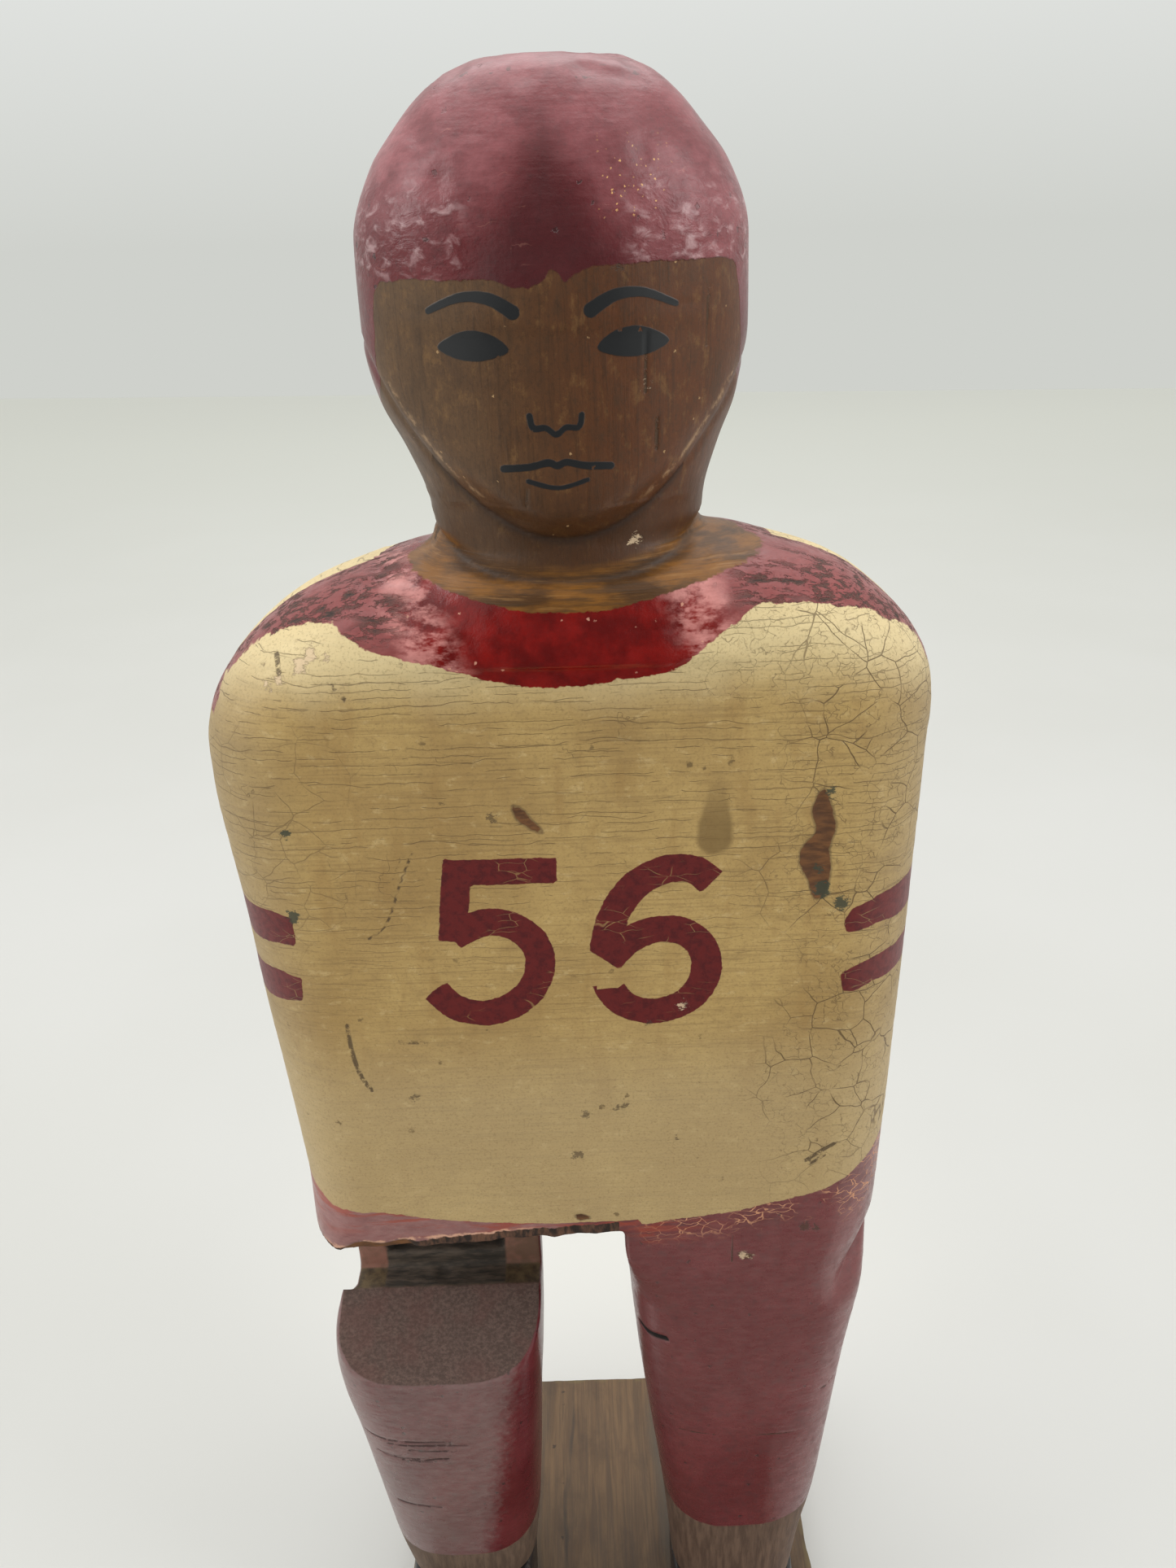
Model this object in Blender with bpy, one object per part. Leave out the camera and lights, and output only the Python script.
"""Carved wooden football kicker: a painted plank figure with one hinged kicking leg on a base board.

The figure faces -Y and +Z is up. The origin is at the middle of the base board's underside.
The kicking leg is at -X, which is the player's right. Lengths are in millimetres.
"""
import math

import bmesh
import bpy
import numpy as np

MM = 0.001
GAP = 0.3                     # clearance between pieces that touch

# Base board, a piece of three-quarter-inch plank
BOARD_WIDTH = 114.0
BOARD_LENGTH = 150.0
BOARD_THICK = 19.0
BOARD_X = 3.0                 # the figure stands a little off the board's middle
BOARD_EDGE = 1.2

# Figure, carved from a two-inch plank
FIGURE_X = 1.0                # the carving's axis
FIGURE_Y = 10.0               # middle of the plank's thickness
HEM_Z = 170.0                 # flat saw cut under the jersey, over the kicking leg
CHIN_Z = 323.0
JAW_RISE = 20.0               # how much higher the jaw line is at the side of the head
JAW_HALF_WIDTH = 26.0
JAW_STEP = 6.0                # height over which the jaw cuts back to the neck
PLANK_HALF_DEPTH = 22.0
PLANK_ROUNDING = 18.0         # width of the rounded margin along the plank's outline
PLANK_POWER = 2.3
HEAD_POWER = 2.3
NECK_BLEND = 5.0

# Stations are (height above the ground, size). The carving isn't quite symmetric.
HEAD_HALF_WIDTH = [(388, 11.5), (385.6, 17.0), (379, 23.8), (374, 27.7), (364, 31.2), (351, 31.4),
                   (340.5, 29.6), (332.6, 26.1), (324, 23.6), (317, 23.0), (311, 25.6), (300, 27.0)]
HEAD_SHIFT = [(388, -0.9), (345, -0.9), (334, -0.4), (324, 0.0), (300, 0.0)]
HEAD_HALF_DEPTH = [(388, 9.5), (385.6, 14.0), (379, 19.2), (374, 22.0), (364, 24.6), (351, 25.4),
                   (340, 24.8), (332, 23.0), (324, 21.0), (317, 19.6), (311, 20.4), (300, 21.0)]
FACE_HALF_DEPTH = 25.0        # the face stands this far in front of the middle, down to the jaw
# Torso, measured from the carving's axis to each side
TORSO_LEFT = [(170, 61.4), (190, 62.4), (211, 63.7), (230, 65.0), (250, 65.9), (262, 66.8), (275, 67.6),
              (283, 67.4), (290, 65.6), (297, 61.2), (302.5, 56.0), (308.5, 47.5), (313.5, 35.0),
              (316.5, 23.0), (318, 0.0)]
TORSO_RIGHT = [(170, 63.7), (190, 64.2), (211, 64.6), (230, 64.9), (262, 65.2), (278, 65.3),
               (285, 65.6), (290, 65.2), (294, 64.2), (298.5, 61.8), (303.5, 57.4), (310.8, 48.0),
               (315.2, 36.0), (317.8, 23.0), (319, 0.0)]

# Standing leg, from the crotch down to the shoe
LEG_INNER = [(170, 7.9), (150, 9.0), (126, 10.8), (100, 13.6), (77, 16.2), (60, 17.8), (39, 19.4)]
LEG_OUTER = [(170, 64.7), (150, 62.8), (126, 60.0), (100, 57.9), (77, 55.9), (60, 53.6), (39, 51.5)]
LEG_HALF_DEPTH = [(170, 22.0), (150, 21.6), (126, 21.0), (77, 19.6), (60, 18.2), (39, 17.0)]
LEG_POWER = [(170, 4.2), (120, 3.6), (77, 3.2), (39, 2.7)]
LEG_ROUND_Z = 146.0           # below this the leg's section is fully rounded

# Kicking leg and its hip hinge
KICK_INNER = [(176, -11.6), (141, -11.4), (126, -11.7), (100, -13.2), (68, -14.8), (47, -16.6)]
KICK_OUTER = [(176, -58.4), (141.5, -58.4), (133, -60.2), (126, -60.7), (119, -60.3),
              (106, -58.3), (93, -56.6), (79, -55.0), (65, -53.4), (47, -50.5)]
KICK_HALF_DEPTH = [(176, 21.0), (126, 21.0), (68, 19.3), (47, 17.0)]
KICK_TOP_Z = 174.0            # top of the blank before the hinge is cut
HINGE_Y = 20.75
HINGE_Z = 158.5
EAR_RADIUS = 10.2
EAR_DEPTH = 20.5
EAR_SIDE_X = -55.0            # the ears stand a little in from the leg's outer side
PLANED_TO_Z = 121.0           # the flat in line with the outer ear goes down to here
PLANED_RUNOUT = (7.0, 13.0)   # and then runs out by this much sideways and down
STEP_SETBACK = 0.5            # of that flat behind the chamfer's upper edge
SHELF_Z = 141.5               # flat ledge in front of the ears
SHELF_DEPTH = 6.2
SLOT_OUTER_X = -48.0
SLOT_INNER_X = -20.1
SLOT_FLOOR_Z = 146.0
BLOCK_SIDE_GAP = 0.5
BLOCK_RADIUS = 9.5
TENON_FRONT_Y = 11.5
TENON_BACK_Y = 25.5
TENON_TOP_Z = 186.0
PIN_RADIUS = 2.4
PIN_OUTER_X = -54.6
PIN_INNER_X = -12.6
PIN_CHAMFER = 0.5
PIN_BORE_RUNOUT = 10.0         # how far the bore's cutter goes past each end of the pin
MORTISE_DEPTH_BELOW = 10.0     # how far the mortise cutter starts under the hem

# Shoes: stations are (height above the sole, place)
SHOE_HEIGHT = 20.0
SHOE_TOE_Y = [(0, -24.5), (2, -28.5), (6, -31.5), (9, -30.5), (13, -25.5), (17, -17.5), (20, -11.0)]
SHOE_HEEL_Y = [(0, 29.5), (2, 31.0), (8, 32.0), (14, 31.5), (20, 30.0)]
SHOE_HALF_WIDTH = [(0, 14.0), (2, 15.2), (7, 16.2), (12, 16.2), (17, 16.1), (20, 16.0)]
SHOE_POWER = 2.7
STANDING_SHOE_X = 35.5
KICKING_SHOE_X = -33.5
KICKING_SOLE_Z = 27.0

# Fasteners
SCREW_HEAD_RADIUS = 4.0
SCREW_HEAD_HEIGHT = 3.0
SCREW_HEAD_RIM = 0.4
SCREW_SLOT_WIDTH = 1.0
SCREW_SLOT_DEPTH = 1.1
SCREW_SHANK_RADIUS = 2.0
SCREW_TIP = 8.0
SCREW_POINT_RADIUS = 0.5
SCREW_SINK = 0.6
BASE_SCREW_LENGTH = 60.0
BASE_SCREW_Y = (2.0, 19.0)
SHOE_SCREW_LENGTH = 42.0
SHOE_SCREW_Y = 10.0
NAIL_HEAD_RADIUS = 1.9
NAIL_HEAD_HEIGHT = 1.0
NAIL_SHANK_RADIUS = 0.9
NAIL_LENGTH = 19.0
NAIL_TIP = 2.0
NAIL_POINT_RADIUS = 0.3
NAIL_SINK = 0.5
NAIL_Z = 178.5
NAIL_X_OFFSET = 7.0

# Cutters
REACH = 60.0                  # how far a cutter runs past what it cuts
HEAD_RUNOUT = 4.0             # how far a fastener's hole goes on behind its head

# Finishes: colour, roughness and how metallic
FINISHES = {'painted_figure': ((0.51, 0.40, 0.21), 0.45, 0.0),
            'painted_leg': ((0.15, 0.03, 0.04), 0.40, 0.0),
            'dark_wood': ((0.045, 0.04, 0.03), 0.8, 0.0),
            'board_wood': ((0.20, 0.125, 0.065), 0.7, 0.0),
            'shoe_paint': ((0.02, 0.017, 0.015), 0.5, 0.0),
            'pin_steel': ((0.30, 0.27, 0.24), 0.45, 1.0),
            'fastener_steel': ((0.25, 0.23, 0.21), 0.5, 1.0)}

# Mesh fineness
COLUMNS_LEFT = 11
COLUMNS_RIGHT = 9
INNER_STEPS = 5
LEG_RING_POINTS = 32
SHOE_RING_POINTS = 28
TURNED_SIDES = 20
NAIL_SIDES = 14


def clear_scene():
    for thing in list(bpy.data.objects):
        bpy.data.objects.remove(thing, do_unlink=True)


def smooth_curve(stations):
    """Give a function that runs smoothly through (place, value) stations without overshooting."""
    place, value = (np.array(column, float) for column in zip(*sorted(stations)))
    slope = np.diff(value) / np.diff(place)
    tangent = np.zeros(len(place))
    for i in range(1, len(place) - 1):
        if slope[i - 1] * slope[i] > 0:
            tangent[i] = 2 / (1 / slope[i - 1] + 1 / slope[i])
    tangent[0], tangent[-1] = slope[0], slope[-1]

    def curve(at):
        at = np.clip(np.asarray(at, float), place[0], place[-1])
        i = np.clip(np.searchsorted(place, at) - 1, 0, len(place) - 2)
        span = place[i + 1] - place[i]
        t = (at - place[i]) / span
        start = (1 + 2 * t) * (1 - t) ** 2 * value[i] + t * (1 - t) ** 2 * span * tangent[i]
        end = t ** 2 * (3 - 2 * t) * value[i + 1] + t ** 2 * (t - 1) * span * tangent[i + 1]
        return start + end
    return curve


def smooth_step(t):
    t = np.clip(t, 0.0, 1.0)
    return t * t * (3 - 2 * t)


head_half_width = smooth_curve(HEAD_HALF_WIDTH)
head_shift = smooth_curve(HEAD_SHIFT)
head_half_depth = smooth_curve(HEAD_HALF_DEPTH)
HEAD_BASE_Z = HEAD_HALF_WIDTH[-1][0]


def outline_points(stations):
    """Give points down one side of the torso plank, from the middle of its top edge."""
    heights = np.linspace(stations[-1][0], HEM_Z - 40, 180)
    return np.column_stack([smooth_curve(stations)(heights), heights])


SIDES = {-1: (smooth_curve(TORSO_LEFT), TORSO_LEFT[-1][0], outline_points(TORSO_LEFT)),
         1: (smooth_curve(TORSO_RIGHT), TORSO_RIGHT[-1][0], outline_points(TORSO_RIGHT))}


def outline_distance(x, z, outline):
    """Distance in the plank's face from a point to its rounded outline."""
    point = np.array([abs(x), z])
    start, end = outline[:-1], outline[1:]
    along = end - start
    t = np.clip(((point - start) * along).sum(1) / (along ** 2).sum(1), 0, 1)
    return float(np.min(np.hypot(*(start + along * t[:, None] - point).T)))


def torso_depth(x, z):
    """Half thickness of the rounded plank at a point of its face, zero outside its outline."""
    half_width, top_z, outline = SIDES[-1 if x < 0 else 1]
    if z > top_z or abs(x) > float(half_width(z)) + 1e-6:
        return 0.0
    inward = min(outline_distance(x, z, outline) / PLANK_ROUNDING, 1.0)
    return PLANK_HALF_DEPTH * (1 - (1 - inward) ** PLANK_POWER) ** (1 / PLANK_POWER)


def head_depth(x, z, front):
    """Half thickness of the head and neck, with the jaw standing out in front."""
    x = x - float(head_shift(z))
    reach = abs(x) / float(head_half_width(z))
    if z < HEAD_BASE_Z or reach >= 1:
        return 0.0
    depth = float(head_half_depth(z))
    if front and z < 352:
        jaw_z = CHIN_Z + JAW_RISE * (x / JAW_HALF_WIDTH) ** 2
        depth += (FACE_HALF_DEPTH - depth) * float(smooth_step((z - jaw_z) / JAW_STEP + 0.5))
    return depth * (1 - reach ** HEAD_POWER) ** (1 / HEAD_POWER)


def body_depth(x, z, front):
    """Half thickness of the carving: head and shoulders blended together."""
    first, second = head_depth(x, z, front), torso_depth(x, z)
    blend = NECK_BLEND * min(min(first, second) / NECK_BLEND, 1.0)
    return (first + second + math.sqrt((first - second) ** 2 + blend ** 2)) / 2


def body_half_width(z, side):
    """Width from the carving's axis to its outline on one side, -1 or 1."""
    torso_half, top_z, _ = SIDES[side]
    widths = []
    if z <= top_z:
        widths.append(float(torso_half(z)))
    if z >= HEAD_BASE_Z:
        widths.append(float(head_half_width(z)) + side * float(head_shift(z)))
    return max(widths)


def superellipse_radius(angle, half_x, half_y, power):
    c, s = abs(math.cos(angle)) / half_x, abs(math.sin(angle)) / half_y
    return (c ** power + s ** power) ** (-1 / power)


def superellipse_ring(centre_x, centre_y, half_x, half_y, power, z, count):
    ring = []
    for i in range(count):
        angle = 2 * math.pi * i / count
        radius = superellipse_radius(angle, half_x, half_y, power)
        ring.append((centre_x + radius * math.cos(angle), centre_y + radius * math.sin(angle), z))
    return ring


def new_object(name, vertices, faces, smooth_angle=35.0):
    """Make an object from vertices in millimetres, with its faces turned outwards."""
    mesh = bpy.data.meshes.new(name)
    mesh.from_pydata([tuple(c * MM for c in vertex) for vertex in vertices], [], faces)
    bm = bmesh.new()
    bm.from_mesh(mesh)
    bmesh.ops.recalc_face_normals(bm, faces=bm.faces)
    bm.to_mesh(mesh)
    bm.free()
    mesh.shade_smooth()
    mesh.set_sharp_from_angle(angle=math.radians(smooth_angle))
    piece = bpy.data.objects.new(name, mesh)
    bpy.context.scene.collection.objects.link(piece)
    return piece


def loft(name, rings):
    """Skin closed rings of equal point counts, with a flat cap at each end."""
    count = len(rings[0])
    vertices = [point for ring in rings for point in ring]
    faces = [list(range(count)), list(range(len(vertices) - count, len(vertices)))]
    for level in range(len(rings) - 1):
        for i in range(count):
            a, b = level * count + i, level * count + (i + 1) % count
            faces.append([a, b, b + count, a + count])
    return new_object(name, vertices, faces)


def turned(name, profile, sides=TURNED_SIDES):
    """Turn a (radius, height) profile about the local Z axis; the ends are closed flat."""
    rings = []
    for radius, height in profile:
        rings.append([(radius * math.cos(2 * math.pi * i / sides),
                       radius * math.sin(2 * math.pi * i / sides), height) for i in range(sides)])
    return loft(name, rings)


def prism(name, outline, x_low, x_high):
    """Extrude an outline of (y, z) points along X."""
    return loft(name, [[(x, y, z) for y, z in outline] for x in (x_low, x_high)])


def block(name, low, high):
    outline = [(low[1], low[2]), (high[1], low[2]), (high[1], high[2]), (low[1], high[2])]
    return prism(name, outline, low[0], high[0])


def as_cutter(piece):
    piece.hide_render = True
    piece.display_type = 'WIRE'
    return piece


def cut(piece, cutter):
    modifier = piece.modifiers.new('Cut ' + cutter.name, 'BOOLEAN')
    modifier.operation = 'DIFFERENCE'
    modifier.solver = 'EXACT'
    modifier.object = cutter


def paint(piece, name):
    colour, roughness, metallic = FINISHES[name]
    material = bpy.data.materials.get(name)
    if material is None:
        material = bpy.data.materials.new(name)
        material.use_nodes = True
        shader = material.node_tree.nodes['Principled BSDF']
        shader.inputs['Base Color'].default_value = (*colour, 1.0)
        shader.inputs['Roughness'].default_value = roughness
        shader.inputs['Metallic'].default_value = metallic
    piece.data.materials.append(material)


def place(piece, position, rotation=(0.0, 0.0, 0.0)):
    piece.location = [c * MM for c in position]
    piece.rotation_euler = rotation


# ---- Figure body: head, torso and standing leg in one carving ----

CROTCH = (LEG_INNER[0][1] - FIGURE_X) / TORSO_RIGHT[0][1]
CROTCH_COLUMN = COLUMNS_LEFT


def column_places():
    """Places across the plank from -1 to 1, closer at the edges, one of them at the crotch."""
    crotch_angle = math.asin(CROTCH)
    left = np.linspace(-math.pi / 2, crotch_angle, COLUMNS_LEFT + 1)
    right = np.linspace(crotch_angle, math.pi / 2, COLUMNS_RIGHT + 1)[1:]
    return np.sin(np.concatenate([left, right]))


def body_ring(z, places):
    left, right = body_half_width(z, -1), body_half_width(z, 1)
    across = [s * (left if s < 0 else right) for s in places]
    front = [(FIGURE_X + x, FIGURE_Y - body_depth(x, z, True), z) for x in across[1:-1]]
    back = [(FIGURE_X + x, FIGURE_Y + body_depth(x, z, False), z) for x in across[-2:0:-1]]
    return [(FIGURE_X - left, FIGURE_Y, z)] + front + [(FIGURE_X + right, FIGURE_Y, z)] + back


def leg_ring(z, places):
    """A ring of the standing leg: cut square from the plank at the crotch, rounded lower down."""
    inner, outer = float(smooth_curve(LEG_INNER)(z)), float(smooth_curve(LEG_OUTER)(z))
    deep, power = float(smooth_curve(LEG_HALF_DEPTH)(z)), float(smooth_curve(LEG_POWER)(z))
    square = []
    for s in places[CROTCH_COLUMN:]:
        share = (s - CROTCH) / (1 - CROTCH)
        x = inner + share * (outer - inner)
        inward = min((outer - x) / PLANK_ROUNDING, 1.0)
        square.append((x, deep * (1 - (1 - inward) ** PLANK_POWER) ** (1 / PLANK_POWER)))
    front = [(x, -y) for x, y in square]
    back = [(x, y) for x, y in square[-2::-1]]
    inside = [(inner, deep * (1 - 2 * step / INNER_STEPS)) for step in range(1, INNER_STEPS)]
    middle, half = (inner + outer) / 2, (outer - inner) / 2
    rounded_share = float(smooth_step((HEM_Z - z) / (HEM_Z - LEG_ROUND_Z)))
    ring = []
    for x, y in front + back + inside:
        angle = math.atan2(y, x - middle)
        radius = superellipse_radius(angle, half, deep, power)
        round_x, round_y = middle + radius * math.cos(angle), radius * math.sin(angle)
        ring.append((x + (round_x - x) * rounded_share,
                     FIGURE_Y + y + (round_y - y) * rounded_share, z))
    return ring


def body_levels():
    torso = [HEM_Z, 178, 190, 208, 226, 244, 260, 272, 281, 287, 292, 296.5, 300.5, 304, 307, 309.6,
             311.8, 313.6, 315.2, 316.6, 317.8, 319.2, 321]
    neck = [322.8, 325, 327.6, 330.4, 333.4, 336.6, 340, 344, 348.5]
    crown = [353.5, 358.5, 363, 367.5, 371.5, 375, 378.4, 381.4, 384, 386.2, 388]
    return torso + neck + crown


def leg_levels():
    return [164, 158, 152, 146, 138, 129, 119, 109, 99, 89, 79, 70, 61, 50,
            BOARD_THICK + GAP + SHOE_HEIGHT + GAP]


def make_figure_body():
    places = column_places()
    upper = [body_ring(z, places) for z in body_levels()]
    vertices = [point for ring in upper for point in ring]
    count = len(upper[0])
    faces = []
    for level in range(len(upper) - 1):
        for i in range(count):
            a, b = level * count + i, level * count + (i + 1) % count
            faces.append([a, b, b + count, a + count])
    faces.append(list(range(len(vertices) - count, len(vertices))))

    # The top ring of the leg shares the hem's outer points and adds the saw cut's inner edge
    last = count // 2
    mirror = count - CROTCH_COLUMN
    outer_chain = list(range(CROTCH_COLUMN, last)) + list(range(last, mirror + 1))
    front_y, back_y = vertices[CROTCH_COLUMN][1], vertices[mirror][1]
    inner_chain = []
    for step in range(1, INNER_STEPS):
        inner_chain.append(len(vertices))
        share = step / INNER_STEPS
        vertices.append((vertices[mirror][0], back_y + (front_y - back_y) * share, HEM_Z))
    underside = [0] + list(range(1, CROTCH_COLUMN + 1)) + inner_chain[::-1]
    underside += list(range(mirror, count))
    faces.append(underside)

    above = outer_chain + inner_chain
    for z in leg_levels():
        ring = leg_ring(z, places)
        below = list(range(len(vertices), len(vertices) + len(ring)))
        vertices.extend(ring)
        for i in range(len(ring)):
            j = (i + 1) % len(ring)
            faces.append([above[i], above[j], below[j], below[i]])
        above = below
    faces.append(above)
    return new_object('figure_body', vertices, faces)


# ---- Hip hinge and kicking leg ----

def arc(centre, radius, start, end, steps):
    """Points (y, z) on an arc between two angles in degrees, counted from +Y towards +Z."""
    points = []
    for i in range(steps + 1):
        angle = math.radians(start + (end - start) * i / steps)
        points.append((centre[0] + radius * math.cos(angle), centre[1] + radius * math.sin(angle)))
    return points


def make_hip_block():
    """The tongue that fills the leg's fork, with a tenon that goes up into the torso."""
    shoulder_z = HEM_Z - GAP
    outline = arc((HINGE_Y, HINGE_Z), BLOCK_RADIUS, 180, 360, 12)
    outline += [(HINGE_Y + BLOCK_RADIUS, shoulder_z), (TENON_BACK_Y, shoulder_z),
                (TENON_BACK_Y, TENON_TOP_Z), (TENON_FRONT_Y, TENON_TOP_Z),
                (TENON_FRONT_Y, shoulder_z), (HINGE_Y - BLOCK_RADIUS, shoulder_z)]
    return prism('hip_block', outline, SLOT_OUTER_X + BLOCK_SIDE_GAP, SLOT_INNER_X - BLOCK_SIDE_GAP)


def make_kicking_leg():
    inner, outer = smooth_curve(KICK_INNER), smooth_curve(KICK_OUTER)
    deep, power = smooth_curve(KICK_HALF_DEPTH), smooth_curve(LEG_POWER)
    bottom = KICKING_SOLE_Z + SHOE_HEIGHT + GAP
    rings = []
    for z in [bottom, 56, 66, 77, 88, 98, 108, 116, 124, 132, 138, 142, 147, 160, KICK_TOP_Z]:
        low_x, high_x = float(outer(z)), float(inner(z))
        rings.append(superellipse_ring((low_x + high_x) / 2, FIGURE_Y, (high_x - low_x) / 2,
                                       float(deep(z)), float(power(z)), z, LEG_RING_POINTS))
    leg = loft('kicking_leg', rings)

    # Everything in front of and above the ears is cut away: chamfer, ledge, then the round ear
    ear_front_y = HINGE_Y - EAR_DEPTH / 2
    shelf_front_y = ear_front_y - SHELF_DEPTH
    outline = [(shelf_front_y - REACH, SHELF_Z - REACH), (shelf_front_y, SHELF_Z),
               (ear_front_y, SHELF_Z)]
    outline += arc((HINGE_Y, HINGE_Z), EAR_RADIUS, 180, 0, 12)
    outline += [(REACH, HINGE_Z), (REACH, SHELF_Z + REACH), (shelf_front_y - REACH, SHELF_Z + REACH)]
    clearing = prism('cut_above_leg', outline, EAR_SIDE_X - REACH, SLOT_INNER_X + REACH)
    top = SHELF_Z + REACH

    # Behind the chamfer the outer side is planed flush with the ear, running out down the leg
    low_x, high_x = EAR_SIDE_X - REACH, EAR_SIDE_X
    front_y = shelf_front_y + STEP_SETBACK
    planed = [[(low_x, y, top), (high_x, y, top), (high_x, y, PLANED_TO_Z),
               (high_x - PLANED_RUNOUT[0], y, PLANED_TO_Z - PLANED_RUNOUT[1]),
               (low_x, y, PLANED_TO_Z - PLANED_RUNOUT[1])] for y in (front_y, REACH)]
    side = loft('cut_ear_side', planed)
    slot = block('cut_fork_slot', (SLOT_OUTER_X, -REACH, SLOT_FLOOR_Z), (SLOT_INNER_X, REACH, top))
    for cutter in (clearing, side, slot):
        cut(leg, as_cutter(cutter))
    return leg


def make_hip_pin(name, radius, extra):
    length = PIN_INNER_X - PIN_OUTER_X + 2 * extra
    profile = [(radius - PIN_CHAMFER, 0), (radius, PIN_CHAMFER), (radius, length - PIN_CHAMFER),
               (radius - PIN_CHAMFER, length)]
    pin = turned(name, profile)
    place(pin, (PIN_OUTER_X - extra, HINGE_Y, HINGE_Z), (0, math.pi / 2, 0))
    return pin


# ---- Shoes and base ----

def make_shoe(name, centre_x, sole_z):
    toe, heel = smooth_curve(SHOE_TOE_Y), smooth_curve(SHOE_HEEL_Y)
    half_width = smooth_curve(SHOE_HALF_WIDTH)
    rings = []
    for height in [0, 1, 2.5, 5, 7.5, 10, 12, 14, 16, 18, SHOE_HEIGHT]:
        front, back = float(toe(height)), float(heel(height))
        rings.append(superellipse_ring(centre_x, (front + back) / 2, float(half_width(height)),
                                       (back - front) / 2, SHOE_POWER, sole_z + height,
                                       SHOE_RING_POINTS))
    return loft(name, rings)


def make_board():
    half_x, half_y = BOARD_WIDTH / 2, BOARD_LENGTH / 2
    board = block('base_board', (BOARD_X - half_x, -half_y, 0),
                  (BOARD_X + half_x, half_y, BOARD_THICK))
    bevel = board.modifiers.new('Eased edges', 'BEVEL')
    bevel.width = BOARD_EDGE * MM
    bevel.segments = 2
    bevel.limit_method = 'ANGLE'
    return board


# ---- Fasteners ----

def make_screw(name, length, extra, head_drop=0.0):
    """A countersunk wood screw along +Z with its head at the bottom; extra makes it a cutter."""
    head, shank = SCREW_HEAD_RADIUS + extra, SCREW_SHANK_RADIUS + extra
    profile = [(head, -head_drop), (head, SCREW_HEAD_RIM), (shank, SCREW_HEAD_HEIGHT),
               (shank, length - SCREW_TIP), (SCREW_POINT_RADIUS + extra, length + extra)]
    return turned(name, profile)


def make_nail(name, extra, head_drop=0.0):
    head, shank = NAIL_HEAD_RADIUS + extra, NAIL_SHANK_RADIUS + extra
    profile = [(head, -head_drop), (head, NAIL_HEAD_HEIGHT + extra),
               (shank, NAIL_HEAD_HEIGHT + extra), (shank, NAIL_LENGTH - NAIL_TIP),
               (NAIL_POINT_RADIUS + extra, NAIL_LENGTH + extra)]
    return turned(name, profile, NAIL_SIDES)


def slot_head(screw, position):
    half = SCREW_SLOT_WIDTH / 2
    slot = block('cut_slot_' + screw.name, (-2 * SCREW_HEAD_RADIUS, -half, -SCREW_SLOT_DEPTH),
                 (2 * SCREW_HEAD_RADIUS, half, SCREW_SLOT_DEPTH))
    place(slot, position)
    cut(screw, as_cutter(slot))


def add_screw(name, x, y, head_z, length, through):
    screw = make_screw(name, length, 0.0)
    place(screw, (x, y, head_z))
    slot_head(screw, (x, y, head_z))
    hole = as_cutter(make_screw('cut_hole_' + name, length, GAP, HEAD_RUNOUT))
    place(hole, (x, y, head_z))
    for piece in through:
        cut(piece, hole)
    return screw


def add_nail(name, x, through):
    head_y = FIGURE_Y + PLANK_HALF_DEPTH - NAIL_SINK
    towards_front = (math.pi / 2, 0, 0)
    nail = make_nail(name, 0.0)
    place(nail, (x, head_y, NAIL_Z), towards_front)
    hole = as_cutter(make_nail('cut_hole_' + name, GAP, HEAD_RUNOUT))
    place(hole, (x, head_y, NAIL_Z), towards_front)
    for piece in through:
        cut(piece, hole)
    return nail


def build():
    clear_scene()
    body = make_figure_body()
    hip_block = make_hip_block()
    leg = make_kicking_leg()
    board = make_board()
    standing_shoe = make_shoe('standing_shoe', STANDING_SHOE_X, BOARD_THICK + GAP)
    kicking_shoe = make_shoe('kicking_shoe', KICKING_SHOE_X, KICKING_SOLE_Z)

    mortise_outer_x = SLOT_OUTER_X + BLOCK_SIDE_GAP - GAP
    mortise_inner_x = SLOT_INNER_X - BLOCK_SIDE_GAP + GAP
    mortise = block('cut_mortise', (mortise_outer_x, TENON_FRONT_Y - GAP, HEM_Z - MORTISE_DEPTH_BELOW),
                    (mortise_inner_x, TENON_BACK_Y + GAP, TENON_TOP_Z + GAP))
    cut(body, as_cutter(mortise))

    pin = make_hip_pin('hip_pin', PIN_RADIUS, 0.0)
    bore = as_cutter(make_hip_pin('cut_pin_bore', PIN_RADIUS + GAP, PIN_BORE_RUNOUT))
    cut(leg, bore)
    cut(hip_block, bore)

    steel = []
    for label, y in zip(('front', 'rear'), BASE_SCREW_Y):
        steel.append(add_screw('base_screw_' + label, STANDING_SHOE_X, y, SCREW_SINK,
                               BASE_SCREW_LENGTH, (board, standing_shoe, body)))
    steel.append(add_screw('kicking_shoe_screw', KICKING_SHOE_X, SHOE_SCREW_Y,
                           KICKING_SOLE_Z + SCREW_SINK, SHOE_SCREW_LENGTH, (kicking_shoe, leg)))
    block_x = (SLOT_OUTER_X + SLOT_INNER_X) / 2
    for label, side in (('outer', -1), ('inner', 1)):
        steel.append(add_nail('hip_block_nail_' + label, block_x + side * NAIL_X_OFFSET,
                              (body, hip_block)))

    paint(body, 'painted_figure')
    paint(leg, 'painted_leg')
    paint(hip_block, 'dark_wood')
    paint(board, 'board_wood')
    for shoe in (standing_shoe, kicking_shoe):
        paint(shoe, 'shoe_paint')
    paint(pin, 'pin_steel')
    for fastener in steel:
        paint(fastener, 'fastener_steel')


build()
